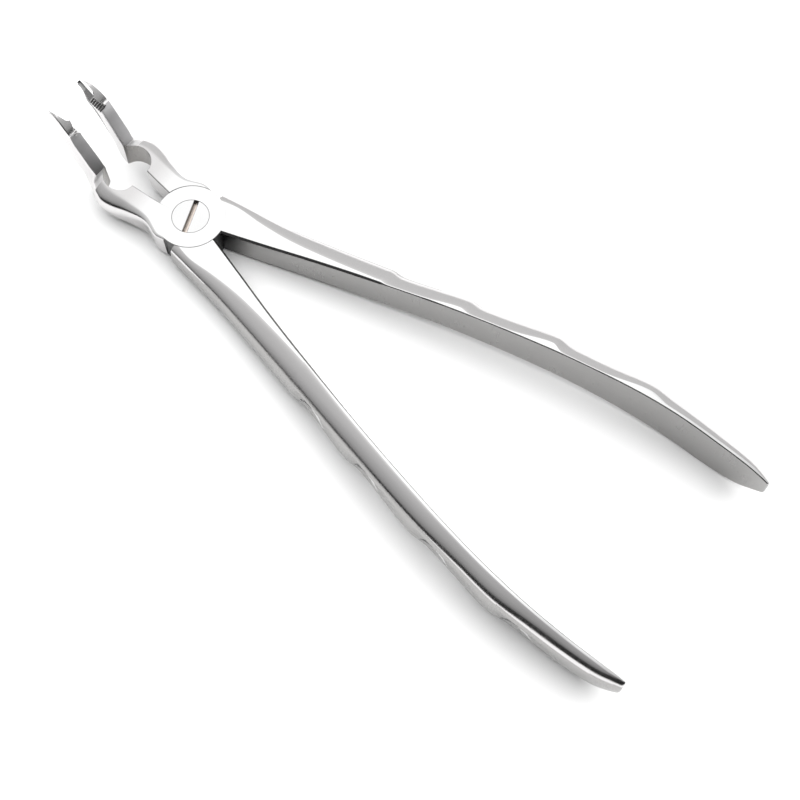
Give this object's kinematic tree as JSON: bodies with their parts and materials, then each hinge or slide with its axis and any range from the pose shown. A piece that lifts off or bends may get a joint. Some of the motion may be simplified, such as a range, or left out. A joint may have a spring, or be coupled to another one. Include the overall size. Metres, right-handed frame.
{
  "type": "extraction forceps",
  "caption": "Dental extraction forceps: crossed steel halves on a slotted joint screw, curved finger-grooved handles and upturned toothed beaks.",
  "frame": {"origin": "on the joint screw's axis, in the flat underside of the joint", "axes": "+X along the closing plane towards the handle ends, +Y towards the front half's handle, +Z along the screw towards its slotted head"},
  "size_m": [0.1724, 0.0613, 0.0293],
  "materials": {
    "forceps_steel": "satin brushed stainless steel with polished edges",
    "screw_steel": "turned stainless steel, ground flush with the joint"
  },
  "bodies": {
    "back": {"back_half": "forceps_steel", "joint_screw": "screw_steel"},
    "front": {"front_half": "forceps_steel"}
  },
  "joints": [
    {"name": "joint_turn", "type": "hinge", "parent": "back", "child": "front", "pos_m": [0, 0, 0.0038], "axis": [0, 0, 1], "range_deg": [-11.5, 15]}
  ]
}
